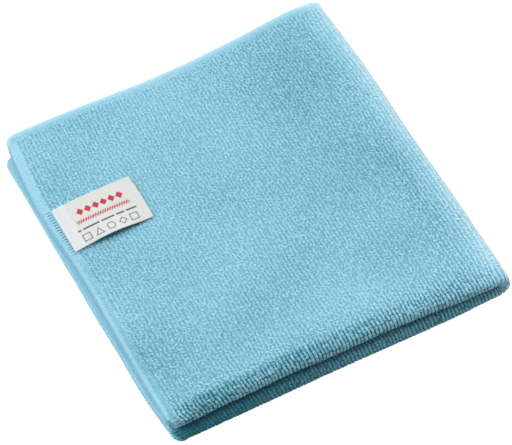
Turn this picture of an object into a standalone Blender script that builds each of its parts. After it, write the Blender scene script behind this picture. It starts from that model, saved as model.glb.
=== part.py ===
"""A microfibre cleaning cloth, folded in quarters, with its sewn-in label.

The cloth is one flat piece of thick terry knit. It is folded once towards the back, which makes the
two stacked lips along the front, and once more over the right-hand side, so that four layers lie one
on another with their hems at the left and at the back. X runs across, from the left hem to the right
fold, Y runs from the front lips to the back hem, and Z is up. The cloth lies on Z = 0.
"""

import math

import bpy
from mathutils import Vector

MM = 0.001

# Driving sizes of the cloth.
CLOTH_THICKNESS = 2.5 * MM
CORNER_RADIUS = 6.5 * MM
LIP_ROUNDNESS = 1.5
LIP_END_PULL = 2.5 * MM
SIDE_ROUNDNESS = 1.2
ARC_STEPS = 8
OPEN_STEPS = 6

# Where the mesh has its lines beside a hem and beside a fold, as distances from it.
HEM_LINES = (0.0, 1.9, 4.4, 8.0, 14.0, 24.0)
FOLD_LINES = (24.0, 14.0, 7.0, 0.0)

# Plan of the four layers in mm: the corner at the left of the back hem, and the back end of the right
# fold's axis. The lower two layers lie turned a little against the upper two.
LAYER_COLUMNS = ("back_left", "back_right")
LAYERS = {
    "bottom": ((-102.5, 92.6), (93.2, 105.0)),
    "second": ((-103.8, 91.4), (93.2, 103.8)),
    "third": ((-99.0, 98.4), (93.2, 104.2)),
    "top": ((-98.8, 100.7), (93.2, 106.0)),
}

# Plan of the two front lips in mm: the left and right ends of each lip's axis.
LIP_COLUMNS = ("left", "right")
LIPS = {
    "lower": ((-94.8, -102.8), (92.7, -103.4)),
    "upper": ((-97.0, -97.0), (92.7, -102.4)),
}

# Heights in mm of the middles of the four layers. "across" is the left hem, the middle or the right
# fold, and "along" is the back hem, the middle or the front lips.
LEVEL_COLUMNS = ("across", "along", "bottom", "second", "third", "top")
LEVELS = (
    ("hem", "back", 1.25, 4.15, 7.05, 9.95),
    ("hem", "middle", 1.25, 4.15, 7.05, 9.95),
    ("hem", "front", 1.25, 5.55, 8.75, 13.05),
    ("middle", "back", 1.25, 4.20, 7.20, 10.15),
    ("middle", "middle", 1.25, 4.35, 7.45, 10.55),
    ("middle", "front", 1.25, 5.65, 8.85, 13.25),
    ("fold", "back", 1.25, 4.45, 7.85, 11.05),
    ("fold", "middle", 1.25, 4.45, 7.95, 11.15),
    ("fold", "front", 1.25, 4.85, 9.85, 13.45),
)
HEM_REACH = 16.0 * MM
FOLD_REACH = 30.0 * MM

# Bulges and hollows of the edges: which edge, how far along it, how long, and how far out in mm.
SWELL_COLUMNS = ("edge", "at", "reach", "out")
SWELLS = (
    ("back", 0.50, 0.24, -2.9),
    ("back", 0.92, 0.12, 1.9),
    ("left upper", 0.25, 0.17, 3.2),
    ("left lower", 0.42, 0.25, 1.8),
    ("left lower", 0.60, 0.10, 1.0),
    ("left lower", 0.84, 0.18, 3.1),
    ("right", 0.28, 0.22, 2.1),
    ("right", 0.74, 0.24, 1.7),
    ("right", 1.00, 0.07, -1.6),
    ("front upper", 0.02, 0.10, 1.6),
    ("front upper", 0.36, 0.10, -1.0),
    ("front upper", 0.75, 0.28, -2.9),
    ("front lower", 0.45, 0.12, -0.3),
    ("front lower", 0.85, 0.14, 0.7),
)

# Sizes and place of the label, whose left end is sewn down beside the left hem.
LABEL_WIDTH = 46.0 * MM
LABEL_DEPTH = 29.6 * MM
LABEL_THICKNESS = 1.0 * MM
LABEL_CORNER = (-95.2 * MM, 14.6 * MM)
LABEL_TURN = math.radians(1.2)
LABEL_SEAT = 0.3 * MM
LABEL_BOW = 2.2 * MM
LABEL_STEPS = (12, 8)

CLOTH_COLOUR = (0.25, 0.546, 0.679, 1.0)
LABEL_COLOUR = (0.80, 0.79, 0.77, 1.0)


def clear_scene():
    for old in list(bpy.data.objects):
        bpy.data.objects.remove(old, do_unlink=True)


def soft_step(distance, reach):
    """1 at the edge itself, falling softly to 0 at the reach."""
    share = min(max(1.0 - distance / reach, 0.0), 1.0)
    return share * share * (3.0 - 2.0 * share)


def swell(edge, share):
    """How far out the named edge lies, at this share of its length."""
    total = 0.0
    for row in SWELLS:
        values = dict(zip(SWELL_COLUMNS, row))
        if values["edge"] == edge:
            total += values["out"] * MM * math.exp(-(((share - values["at"]) / values["reach"]) ** 2))
    return total


def mix(first, second, share):
    return first + (second - first) * share


def top_width():
    """Width of the top layer, from its left hem to the right fold's axis."""
    back_left, back_right = LAYERS["top"]
    return (back_right[0] - back_left[0]) * MM


def top_depth():
    """Depth of the top layer, from its back hem to the front lip's axis."""
    return (LAYERS["top"][0][1] - LIPS["upper"][0][1]) * MM


def plan(layer, across, along):
    """The place in X and Y of a layer's point: across 0 to 1 from the left hem to the right fold's
    axis, along 0 to 1 from the back hem to the front lip's axis."""
    pair = "lower" if layer in ("bottom", "second") else "upper"
    corners = dict(zip(LAYER_COLUMNS, LAYERS[layer]))
    ends = dict(zip(LIP_COLUMNS, LIPS[pair]))
    place = []
    for axis in (0, 1):
        back = mix(corners["back_left"][axis], corners["back_right"][axis], across)
        front = mix(ends["left"][axis], ends["right"][axis], across)
        place.append(mix(back, front, along) * MM)
    x, y = place
    x -= swell("left " + pair, along) * (1.0 - across)
    x += swell("right", along) * across
    y += swell("back", across) * (1.0 - along)
    y -= swell("front " + pair, across) * along * (1.0 - across**4)
    return x, y


def levels(across, along):
    """Heights of the middles of the four layers, bottom to top, at a place in plan."""
    weight = {
        "hem": soft_step(across * top_width(), HEM_REACH),
        "fold": soft_step((1.0 - across) * top_width(), FOLD_REACH),
        "back": soft_step(along * top_depth(), HEM_REACH),
        "front": soft_step((1.0 - along) * top_depth(), FOLD_REACH),
    }
    total = [0.0, 0.0, 0.0, 0.0]
    for row in LEVELS:
        values = dict(zip(LEVEL_COLUMNS, row))
        side = values["across"]
        end = values["along"]
        share = weight[side] if side != "middle" else 1.0 - weight["hem"] - weight["fold"]
        share *= weight[end] if end != "middle" else 1.0 - weight["back"] - weight["front"]
        for index, layer in enumerate(LAYERS):
            total[index] += share * values[layer] * MM
    return total


def rounded_corner(from_left, from_back):
    """Distances from the two hems, drawn in so that the cloth's corner is a quarter circle."""
    if from_left >= CORNER_RADIUS or from_back >= CORNER_RADIUS:
        return from_left, from_back
    a = CORNER_RADIUS - from_left
    b = CORNER_RADIUS - from_back
    drawn_a = a * math.sqrt(1.0 - b * b / (2.0 * CORNER_RADIUS**2))
    drawn_b = b * math.sqrt(1.0 - a * a / (2.0 * CORNER_RADIUS**2))
    return CORNER_RADIUS - drawn_a, CORNER_RADIUS - drawn_b


def path_stations(length):
    """Stations of one pass over the folded path, from hem to fold to hem. Each is the share of the
    way to the fold's axis and the angle round the fold, 0 on the first layer and pi on the second."""
    first = [distance * MM for distance in HEM_LINES]
    last = [length - distance * MM for distance in FOLD_LINES]
    middle = [mix(first[-1], last[0], step / OPEN_STEPS) for step in range(1, OPEN_STEPS)]
    shares = [distance / length for distance in first + middle + last]
    outward = [(share, 0.0) for share in shares]
    round_fold = [(1.0, math.pi * step / ARC_STEPS) for step in range(1, ARC_STEPS)]
    homeward = [(share, math.pi) for share in reversed(shares)]
    return outward + round_fold + homeward


def folded_point(side, end):
    """The place of the cloth's middle surface. "side" is a station across the cloth, which passes
    from the bottom layers round the right fold to the top layers. "end" is a station along it, which
    passes from the outer layer round the front lip to the inner one."""
    across, side_angle = side
    along, end_angle = end
    left, back = rounded_corner(across * top_width(), along * top_depth())
    across = left / top_width()
    along = back / top_depth()

    bottom, second, third, top = levels(across, along)
    inward = (1.0 - math.cos(end_angle)) / 2.0
    low = mix(bottom, second, inward)
    high = mix(top, third, inward)
    upward = (1.0 - math.cos(side_angle)) / 2.0
    z = mix(low, high, upward)

    outer = "bottom" if side_angle < math.pi / 2.0 else "top"
    inner = "second" if side_angle < math.pi / 2.0 else "third"
    outer_x, outer_y = plan(outer, across, along)
    inner_x, inner_y = plan(inner, across, along)
    x = mix(outer_x, inner_x, inward)
    y = mix(outer_y, inner_y, inward)

    lip_height = mix(second - bottom, top - third, upward) / 2.0
    y -= lip_height * LIP_ROUNDNESS * math.sin(end_angle)
    x += LIP_END_PULL * math.sin(end_angle) * (1.0 - across) ** 4
    x += (high - low) / 2.0 * SIDE_ROUNDNESS * math.sin(side_angle)
    return x, y, z


def fabric_material(name, colour, roughness):
    material = bpy.data.materials.new(name)
    material.use_nodes = True
    shader = material.node_tree.nodes["Principled BSDF"]
    shader.inputs["Base Color"].default_value = colour
    shader.inputs["Roughness"].default_value = roughness
    shader.inputs["Metallic"].default_value = 0.0
    return material


def grid_object(name, columns, rows, place):
    """A grid primitive of so many lines each way, its points moved by place(column, row)."""
    bpy.ops.mesh.primitive_grid_add(x_subdivisions=columns - 1, y_subdivisions=rows - 1, size=2.0)
    sheet = bpy.context.active_object
    sheet.name = name
    for point in sheet.data.vertices:
        column = round((point.co.x + 1.0) / 2.0 * (columns - 1))
        row = round((point.co.y + 1.0) / 2.0 * (rows - 1))
        point.co = place(column, row)
    return sheet


def thicken(sheet, thickness):
    """Gives the sheet its thickness, half to each side, with its faces pointing out."""
    solidify = sheet.modifiers.new("Thickness", "SOLIDIFY")
    solidify.thickness = thickness
    solidify.offset = 0.0
    solidify.use_even_offset = True
    solidify.use_rim = True


def finish(sheet, material, collection):
    sheet.data.materials.append(material)
    sheet.data.shade_smooth()
    for old in list(sheet.users_collection):
        old.objects.unlink(sheet)
    collection.objects.link(sheet)


def build_cloth(collection):
    """The cloth with its hem, one piece from corner to corner."""
    sides = path_stations(top_width())
    ends = path_stations(top_depth())
    cloth = grid_object(
        "cloth", len(sides), len(ends), lambda column, row: folded_point(sides[column], ends[row])
    )
    thicken(cloth, CLOTH_THICKNESS)
    finish(cloth, fabric_material("microfibre", CLOTH_COLOUR, 0.95), collection)
    return cloth


def top_height(x, y):
    """Height of the cloth's upper surface at a place in plan."""
    left, back = LAYERS["top"][0]
    across = (x - left * MM) / top_width()
    along = (back * MM - y) / top_depth()
    return levels(across, along)[3] + CLOTH_THICKNESS / 2.0


def label_point(column, row):
    """The label lies on the top layer, its near edge bowed up and its free corner tipped down."""
    over = column / LABEL_STEPS[0]
    up = row / LABEL_STEPS[1]
    local_x = over * LABEL_WIDTH
    local_y = up * LABEL_DEPTH
    x = LABEL_CORNER[0] + local_x * math.cos(LABEL_TURN) - local_y * math.sin(LABEL_TURN)
    y = LABEL_CORNER[1] + local_x * math.sin(LABEL_TURN) + local_y * math.cos(LABEL_TURN)
    bow = LABEL_BOW * math.sin(math.pi * over) ** 2 * (1.0 - up) ** 2
    z = top_height(x, y) + LABEL_SEAT + LABEL_THICKNESS / 2.0 + bow
    return x, y, z


def build_label(collection):
    label = grid_object("label", LABEL_STEPS[0] + 1, LABEL_STEPS[1] + 1, label_point)
    thicken(label, LABEL_THICKNESS)
    finish(label, fabric_material("label_tape", LABEL_COLOUR, 0.7), collection)
    return label


def centre_on_origin(pieces):
    """Moves the pieces together so that the middle of their underside lies on the origin."""
    bpy.context.view_layer.update()
    graph = bpy.context.evaluated_depsgraph_get()
    corners = []
    for piece in pieces:
        shown = piece.evaluated_get(graph)
        corners += [shown.matrix_world @ Vector(corner) for corner in shown.bound_box]
    middle_x = (min(c.x for c in corners) + max(c.x for c in corners)) / 2.0
    middle_y = (min(c.y for c in corners) + max(c.y for c in corners)) / 2.0
    lowest = min(c.z for c in corners)
    for piece in pieces:
        piece.location -= Vector((middle_x, middle_y, lowest))


clear_scene()
parts = bpy.data.collections.new("microfibre cloth")
bpy.context.scene.collection.children.link(parts)
cloth = build_cloth(parts)
label = build_label(parts)
centre_on_origin((cloth, label))
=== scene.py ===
"""A light blue microfibre cloth folded in quarters, with its knitted loops, hem stitches and label."""

import math

import bpy
import numpy as np
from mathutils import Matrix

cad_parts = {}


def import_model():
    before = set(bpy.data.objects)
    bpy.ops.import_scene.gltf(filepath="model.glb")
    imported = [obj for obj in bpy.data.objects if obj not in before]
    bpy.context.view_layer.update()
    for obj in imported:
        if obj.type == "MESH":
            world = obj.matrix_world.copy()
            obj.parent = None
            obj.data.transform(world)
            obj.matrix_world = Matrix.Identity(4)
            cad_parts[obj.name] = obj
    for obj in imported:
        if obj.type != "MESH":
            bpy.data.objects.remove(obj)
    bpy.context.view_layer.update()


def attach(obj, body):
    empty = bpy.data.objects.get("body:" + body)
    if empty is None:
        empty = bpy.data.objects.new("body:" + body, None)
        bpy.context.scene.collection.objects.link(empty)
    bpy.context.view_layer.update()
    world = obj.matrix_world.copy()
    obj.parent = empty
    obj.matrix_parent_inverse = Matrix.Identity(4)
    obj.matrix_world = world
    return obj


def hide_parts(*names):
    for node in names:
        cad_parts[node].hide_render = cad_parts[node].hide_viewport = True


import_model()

MM = 0.001

# The cloth.
# One flat piece of thick terry knit, cut about 400 x 405 mm with rounded corners, folded once towards
# the back and once over the right-hand side. Its ribs run from the front lips to the back hem.

CLOTH_THICKNESS = 2.5 * MM
CORNER_RADIUS = 6.5 * MM
LIP_ROUNDNESS = 1.5
LIP_END_PULL = 2.5 * MM
LIP_END_FADE = 4
SIDE_ROUNDNESS = 1.2

# Plan of the four layers in mm: the corner at the left of the back hem, and the back end of the right
# fold's axis.
LAYER_COLUMNS = ("back_left", "back_right")
LAYERS = {
    "bottom": ((-102.5, 92.6), (93.2, 105.0)),
    "second": ((-103.8, 91.4), (93.2, 103.8)),
    "third": ((-99.0, 98.4), (93.2, 104.2)),
    "top": ((-98.8, 100.7), (93.2, 106.0)),
}

# Plan of the two front lips in mm: the left and right ends of each lip's axis.
LIP_COLUMNS = ("left", "right")
LIPS = {
    "lower": ((-94.8, -102.8), (92.7, -103.4)),
    "upper": ((-97.0, -97.0), (92.7, -102.4)),
}

# Heights in mm of the middles of the four layers.
LEVEL_COLUMNS = ("across", "along", "bottom", "second", "third", "top")
LEVELS = (
    ("hem", "back", 1.25, 4.15, 7.05, 9.95),
    ("hem", "middle", 1.25, 4.15, 7.05, 9.95),
    ("hem", "front", 1.25, 5.55, 8.75, 13.05),
    ("middle", "back", 1.25, 4.20, 7.20, 10.15),
    ("middle", "middle", 1.25, 4.35, 7.45, 10.55),
    ("middle", "front", 1.25, 5.65, 8.85, 13.25),
    ("fold", "back", 1.25, 4.45, 7.85, 11.05),
    ("fold", "middle", 1.25, 4.45, 7.95, 11.15),
    ("fold", "front", 1.25, 4.85, 9.85, 13.45),
)
HEM_REACH = 16.0 * MM
FOLD_REACH = 30.0 * MM

# Bulges and hollows of the edges: which edge, how far along it, how long, and how far out in mm.
SWELL_COLUMNS = ("edge", "at", "reach", "out")
SWELLS = (
    ("back", 0.50, 0.24, -2.9),
    ("back", 0.92, 0.12, 1.9),
    ("left upper", 0.25, 0.17, 3.2),
    ("left lower", 0.42, 0.25, 1.8),
    ("left lower", 0.60, 0.10, 1.0),
    ("left lower", 0.84, 0.18, 3.1),
    ("right", 0.28, 0.22, 2.1),
    ("right", 0.74, 0.24, 1.7),
    ("right", 1.00, 0.07, -1.6),
    ("front upper", 0.02, 0.10, 1.6),
    ("front upper", 0.36, 0.10, -1.0),
    ("front upper", 0.75, 0.28, -2.9),
    ("front lower", 0.45, 0.12, -0.3),
    ("front lower", 0.85, 0.14, 0.7),
)

# The flat cloth: two widths of a layer and the way round the side fold; two depths and a lip.
LAYER_WIDTH = (LAYERS["top"][1][0] - LAYERS["top"][0][0]) * MM
LAYER_DEPTH = (LAYERS["top"][0][1] - LIPS["upper"][0][1]) * MM
SIDE_ARC = 17.2 * MM
LIP_ARC = 10.0 * MM
ACROSS = 2.0 * LAYER_WIDTH + SIDE_ARC
ALONG = 2.0 * LAYER_DEPTH + LIP_ARC

# The ribs, and how far round the lips and the side fold they are bent open.
RIB_PITCH = 2.09 * MM
RIB_COUNT = round(ACROSS / RIB_PITCH)
RIB_VALLEY = 0.86 * MM
RIB_RISE = 0.10 * MM
OPEN_DIP = 0.30 * MM
FRONT_REACH = (8.0 * MM, 24.0 * MM)
SIDE_REACH = (14.0 * MM, 26.0 * MM)
SIDE_OPEN = 0.5

# The ribs wander, but not beside the left and right hems: they are bunched in places, and they sway.
WANDER_FULL = 18.0 * MM
WANDER_FADE = 12.0 * MM
BUNCHED = 0.50 * MM
BUNCH_WAVE = 7.1 * MM
BUNCH_BEND = 2.3
BUNCH_DRIFT = 19.0 * MM
SWAYED = 0.40 * MM
SWAY_WAVE = 12.7 * MM
SWAY_DRIFT = 19.0 * MM

# The hem's width, half its thickness, the dip along its line of stitches, and the most that the back
# side stands off the middle of the cloth.
HEM_WIDTH = 4.8 * MM
HEM_HALF = 1.15 * MM
HEM_ROUND = 1.5 * MM
HEM_SHOULDER = 2.0 * MM
STITCH_DIP = 0.12 * MM
STITCH_DIP_REACH = 0.9 * MM
BACK_LIFT = 1.2 * MM

# How finely the cloth's box is measured, and the step over which its slope is.
CENTRE_SAMPLES = 400
SURFACE_STEP = 0.05 * MM
TINY = 1e-12


def soft_step(distance, reach):
    share = np.clip(1.0 - distance / reach, 0.0, 1.0)
    return share * share * (3.0 - 2.0 * share)


def mix(first, second, share):
    return first + (second - first) * share


def swell(edge, share):
    total = np.zeros_like(share)
    for row in SWELLS:
        values = dict(zip(SWELL_COLUMNS, row))
        if values["edge"] == edge:
            total += values["out"] * MM * np.exp(-(((share - values["at"]) / values["reach"]) ** 2))
    return total


def plan(layer, across, along):
    """Plan of a layer's point: across from the left hem to the side fold, along from back to front."""
    pair = "lower" if layer in ("bottom", "second") else "upper"
    corners = dict(zip(LAYER_COLUMNS, LAYERS[layer]))
    ends = dict(zip(LIP_COLUMNS, LIPS[pair]))
    place = []
    for axis in (0, 1):
        back = mix(corners["back_left"][axis], corners["back_right"][axis], across)
        front = mix(ends["left"][axis], ends["right"][axis], across)
        place.append(mix(back, front, along) * MM)
    x, y = place
    x = x - swell("left " + pair, along) * (1.0 - across) + swell("right", along) * across
    y = y + swell("back", across) * (1.0 - along)
    y = y - swell("front " + pair, across) * along * (1.0 - across**LIP_END_FADE)
    return x, y


def levels(across, along):
    """Heights of the middles of the four layers, bottom to top."""
    weight = {
        "hem": soft_step(across * LAYER_WIDTH, HEM_REACH),
        "fold": soft_step((1.0 - across) * LAYER_WIDTH, FOLD_REACH),
        "back": soft_step(along * LAYER_DEPTH, HEM_REACH),
        "front": soft_step((1.0 - along) * LAYER_DEPTH, FOLD_REACH),
    }
    total = [np.zeros_like(across) for layer in LAYERS]
    for row in LEVELS:
        values = dict(zip(LEVEL_COLUMNS, row))
        side = values["across"]
        end = values["along"]
        share = weight[side] if side != "middle" else 1.0 - weight["hem"] - weight["fold"]
        share = share * (weight[end] if end != "middle" else 1.0 - weight["back"] - weight["front"])
        for index, layer in enumerate(LAYERS):
            total[index] += share * values[layer] * MM
    return total


def along_path(distance, flat, arc):
    """How far over a layer and how far round the fold a point of the flat cloth comes to lie."""
    share = np.where(distance < flat, distance, 2.0 * flat + arc - distance) / flat
    angle = np.clip((distance - flat) / arc, 0.0, 1.0) * math.pi
    return np.clip(share, 0.0, 1.0), angle


def rounded_corner(from_left, from_back):
    a = np.clip(CORNER_RADIUS - from_left, 0.0, None)
    b = np.clip(CORNER_RADIUS - from_back, 0.0, None)
    drawn_a = a * np.sqrt(1.0 - b * b / (2.0 * CORNER_RADIUS**2))
    drawn_b = b * np.sqrt(1.0 - a * a / (2.0 * CORNER_RADIUS**2))
    inside = (a > 0.0) & (b > 0.0)
    left = np.where(inside, CORNER_RADIUS - drawn_a, from_left)
    back = np.where(inside, CORNER_RADIUS - drawn_b, from_back)
    return left, back


def middle(u, v):
    """Where a point of the flat cloth lies once folded: u from its left edge, v from its back edge."""
    across, side_angle = along_path(u, LAYER_WIDTH, SIDE_ARC)
    along, end_angle = along_path(v, LAYER_DEPTH, LIP_ARC)
    left, back = rounded_corner(across * LAYER_WIDTH, along * LAYER_DEPTH)
    across = left / LAYER_WIDTH
    along = back / LAYER_DEPTH
    bottom, second, third, top = levels(across, along)
    inward = (1.0 - np.cos(end_angle)) / 2.0
    upward = (1.0 - np.cos(side_angle)) / 2.0
    low = mix(bottom, second, inward)
    high = mix(top, third, inward)
    z = mix(low, high, upward)
    below = side_angle < math.pi / 2.0
    places = {layer: plan(layer, across, along) for layer in LAYERS}
    x, y = [
        mix(
            np.where(below, places["bottom"][axis], places["top"][axis]),
            np.where(below, places["second"][axis], places["third"][axis]),
            inward,
        )
        for axis in (0, 1)
    ]
    lip_height = mix(second - bottom, top - third, upward) / 2.0
    y = y - lip_height * LIP_ROUNDNESS * np.sin(end_angle)
    x = x + LIP_END_PULL * np.sin(end_angle) * (1.0 - across) ** LIP_END_FADE
    x = x + (high - low) / 2.0 * SIDE_ROUNDNESS * np.sin(side_angle)
    return np.stack([x, y, z], -1)


def plan_centre():
    """The middle of the folded cloth's box, which lies over the origin."""
    us = np.linspace(0.0, ACROSS, CENTRE_SAMPLES)
    vs = np.linspace(0.0, ALONG, CENTRE_SAMPLES)
    u, v = np.meshgrid(us, vs)
    points = middle(u, v).reshape(-1, 3)
    half = CLOTH_THICKNESS / 2.0
    x = (points[:, 0].min() + points[:, 0].max() + half) / 2.0
    y = (points[:, 1].min() - half + points[:, 1].max()) / 2.0
    return np.array([x, y, 0.0])


CENTRE = plan_centre()


def surface(u, v, lift):
    """A point that stands off the folded cloth's middle by this much, outwards on its face side."""
    step = SURFACE_STEP
    du = middle(np.clip(u + step, 0, ACROSS), v) - middle(np.clip(u - step, 0, ACROSS), v)
    dv = middle(u, np.clip(v + step, 0, ALONG)) - middle(u, np.clip(v - step, 0, ALONG))
    normal = np.cross(du, dv)
    normal /= np.linalg.norm(normal, axis=-1, keepdims=True) + TINY
    return middle(u, v) - CENTRE + normal * np.asarray(lift)[..., None]


def hem_distance(u, v):
    return np.minimum(np.minimum(u, ACROSS - u), np.minimum(v, ALONG - v))


def hem_lift(distance):
    """Half the hem's thickness: round at the cut edge, dipping at the line of the stitches."""
    edge = np.clip(distance / HEM_ROUND, 0.0, 1.0)
    dip = STITCH_DIP * np.exp(-(((distance - HEM_WIDTH) / STITCH_DIP_REACH) ** 2))
    return HEM_HALF * np.sqrt(1.0 - (1.0 - edge) ** 2) - dip


def wandered(u, v):
    """Where the rib that is knitted at u has wandered to: the knit isn't quite straight or even."""
    inner = soft_step(WANDER_FULL - np.minimum(u, ACROSS - u), WANDER_FADE)
    bunched = BUNCHED * np.sin(u / BUNCH_WAVE + BUNCH_BEND * np.sin(v / BUNCH_DRIFT))
    swayed = SWAYED * np.sin(v / SWAY_WAVE + u / SWAY_DRIFT)
    return u + (bunched + swayed) * inner


def opened(u, v):
    """How far the ribs are bent open: 0 on the flat, 1 on the front lips, less round the side fold."""
    beside_fold = 1.0 - np.abs(2.0 * u / ACROSS - 1.0)
    reach = mix(*FRONT_REACH, beside_fold**2)
    front = soft_step(LAYER_DEPTH - v, reach) * soft_step(v - LAYER_DEPTH - LIP_ARC, reach)
    beside_lips = 1.0 - np.abs(2.0 * v / ALONG - 1.0)
    side = SIDE_OPEN * soft_step(np.abs(u - ACROSS / 2.0) - SIDE_ARC / 2.0, mix(*SIDE_REACH, beside_lips))
    return np.maximum(front, side)


def rib_height(u):
    """0 between two ribs to 1 along the middle of each."""
    return 0.5 - 0.5 * np.cos(2.0 * math.pi * u / ACROSS * RIB_COUNT)


def face_lift(u, v):
    rib = RIB_VALLEY + RIB_RISE * rib_height(u) - OPEN_DIP * opened(u, v) * (1.0 - rib_height(u))
    distance = hem_distance(u, v)
    return mix(rib, hem_lift(distance), soft_step(distance - HEM_WIDTH, HEM_SHOULDER))


def lines(flat, arc, edge_lines, fold_lines, spacing, arc_steps):
    """Distances along the flat cloth at which its mesh has a line, from hem to hem."""
    first = np.array(edge_lines) * MM
    last = flat - np.array(fold_lines) * MM
    count = max(2, round((last[0] - first[-1]) / spacing))
    half = np.concatenate([first[:-1], np.linspace(first[-1], last[0], count + 1), last[1:]])
    bend = flat + arc * np.arange(1, arc_steps) / arc_steps
    return np.concatenate([half, bend, (2.0 * flat + arc - half)[::-1]])


def grid_faces(columns, rows, first):
    """Quads of a grid whose points are numbered column by column."""
    i, j = np.meshgrid(np.arange(columns - 1), np.arange(rows - 1), indexing="ij")
    a = first + i * rows + j
    return np.stack([a, a + rows, a + rows + 1, a + 1], -1).reshape(-1, 4)


def border(columns, rows, first):
    """The numbers of a grid's outer points, in order round it."""
    left = [(0, j) for j in range(rows - 1)]
    front = [(i, rows - 1) for i in range(columns - 1)]
    right = [(columns - 1, j) for j in range(rows - 1, 0, -1)]
    back = [(i, 0) for i in range(columns - 1, 0, -1)]
    return [first + i * rows + j for i, j in left + front + right + back]


# More than 4, which is once round.
PAST_THE_END = 9.0


def zip_loops(outer, outer_at, inner, inner_at):
    """Triangles between two closed loops, in step with how far round each point lies."""
    faces = []
    i = j = 0
    while i < len(outer) or j < len(inner):
        a, b = outer[i % len(outer)], inner[j % len(inner)]
        next_outer = outer_at[i + 1] if i < len(outer) else PAST_THE_END
        next_inner = inner_at[j + 1] if j < len(inner) else PAST_THE_END
        if next_outer <= next_inner:
            faces.append((a, b, outer[(i + 1) % len(outer)]))
            i += 1
        else:
            faces.append((a, b, inner[(j + 1) % len(inner)]))
            j += 1
    return faces


def round_the_edge(us, vs, points):
    """How far round a sheet's edge each border point lies: a whole number at each corner."""
    at = []
    for u, v in points:
        if u <= us[0] and v < vs[-1]:
            at.append((v - vs[0]) / (vs[-1] - vs[0]))
        elif v >= vs[-1] and u < us[-1]:
            at.append(1.0 + (u - us[0]) / (us[-1] - us[0]))
        elif u >= us[-1] and v > vs[0]:
            at.append(2.0 + (vs[-1] - v) / (vs[-1] - vs[0]))
        else:
            at.append(3.0 + (us[-1] - u) / (us[-1] - us[0]))
    return at + [4.0]


def mesh_object(name, points, faces):
    data = bpy.data.meshes.new(name)
    data.from_pydata([tuple(p) for p in points], [], [tuple(f) for f in faces])
    data.validate()
    data.shade_smooth()
    piece = bpy.data.objects.new(name, data)
    bpy.context.scene.collection.objects.link(piece)
    return piece


def closed_sheet(name, face, back, map_name, map_size):
    """A fine grid for its face and a coarse one for its back, zipped together round the edge. Each
    is given by its lines across and along, and its points. It gets a map of the flat sheet."""
    faces = []
    flat = []
    edges = []
    first = 0
    for (us, vs, points), turn in ((face, 1), (back, -1)):
        flat.append(np.stack(np.meshgrid(us, vs, indexing="ij"), -1).reshape(-1, 2))
        loop = border(len(us), len(vs), first)
        edges += [loop, round_the_edge(us, vs, flat[-1][np.array(loop) - first])]
        faces += [tuple(q[::turn]) for q in grid_faces(len(us), len(vs), first)]
        first += len(points)
    faces += [tuple(f[::-1]) for f in zip_loops(*edges)]
    sheet = mesh_object(name, np.concatenate([face[2], back[2]]), faces)
    flat = np.concatenate(flat)
    corner_vertex = np.zeros(len(sheet.data.loops), int)
    sheet.data.loops.foreach_get("vertex_index", corner_vertex)
    flat_map = sheet.data.uv_layers.new(name=map_name)
    flat_map.data.foreach_set("uv", (flat[corner_vertex] / np.array(map_size)).ravel())
    return sheet, flat


# Where the two sides of the cloth have a line of their mesh, in mm from the hem and from a fold. The
# face has four lines to a rib.
FACE_HEM_LINES = (0.0, 0.3, 0.8, 1.5, 2.5, 3.7, 4.8, 5.8, 7.2, 9.5)
FACE_FOLD_LINES = (9.0, 6.0, 3.0, 0.0)
BACK_HEM_LINES = (0.4, 1.2, 2.5, 4.8, 8.0)
BACK_FOLD_LINES = (8.0, 4.0, 0.0)
LINE_SPACING = 6.0 * MM
FOLD_STEPS = 12
LINES_PER_RIB = 4

face_u = np.linspace(0.0, ACROSS, LINES_PER_RIB * RIB_COUNT + 1)
face_v = lines(LAYER_DEPTH, LIP_ARC, FACE_HEM_LINES, FACE_FOLD_LINES, LINE_SPACING, FOLD_STEPS)
back_u = lines(LAYER_WIDTH, SIDE_ARC, BACK_HEM_LINES, BACK_FOLD_LINES, LINE_SPACING, FOLD_STEPS)
back_v = lines(LAYER_DEPTH, LIP_ARC, BACK_HEM_LINES, BACK_FOLD_LINES, LINE_SPACING, FOLD_STEPS)

face_us, face_vs = np.meshgrid(face_u, face_v, indexing="ij")
back_us, back_vs = np.meshgrid(back_u, back_v, indexing="ij")
face_points = surface(wandered(face_us, face_vs), face_vs, face_lift(face_us, face_vs)).reshape(-1, 3)
back_lift = np.minimum(hem_lift(hem_distance(back_us, back_vs)), BACK_LIFT)
back_points = surface(back_us, back_vs, -back_lift).reshape(-1, 3)
cloth_face = (face_u, face_v, face_points)
cloth_back = (back_u, back_v, back_points)
cloth, _ = closed_sheet("terry_cloth", cloth_face, cloth_back, "flat_cloth", (ACROSS, ALONG))

# The knit's colours by its tone, from 0 to 1: deep down in it, where shade is painted in, on its high
# places, and pale where a sheen of light is painted. Then the tones of the high places and of slightly
# paler ones, and how pale those are.
KNIT_BLUES = ((0.022, 0.190, 0.24, 1.0), (0.345, 0.683, 0.840, 1.0), (0.60, 0.805, 0.88, 1.0))
HIGH_AT = 0.60
PALER_AT = 0.82
PALER_SHARE = 0.28
BLOTCH_SCALE = 1300.0
BLOTCH_TONE = 0.80
FIBRE_SCALE = 2500.0
FIBRE_DEPTH = 0.2 * MM
KNIT_FINISH = {
    "Roughness": 0.95,
    "Specular IOR Level": 0.05,
    "Sheen Weight": 0.2,
    "Sheen Roughness": 0.5,
    "Sheen Tint": (0.55, 0.88, 1.0, 1.0),
}


def new_material(name, finish):
    """A material with this finish, and its nodes, links and shader."""
    material = bpy.data.materials.new(name)
    material.use_nodes = True
    nodes = material.node_tree.nodes
    shader = nodes["Principled BSDF"]
    for socket, value in finish.items():
        shader.inputs[socket].default_value = value
    return material, nodes, material.node_tree.links, shader


def new_node(nodes, kind, **values):
    node = nodes.new(kind)
    for socket, value in values.items():
        node.inputs[socket].default_value = value
    return node


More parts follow.
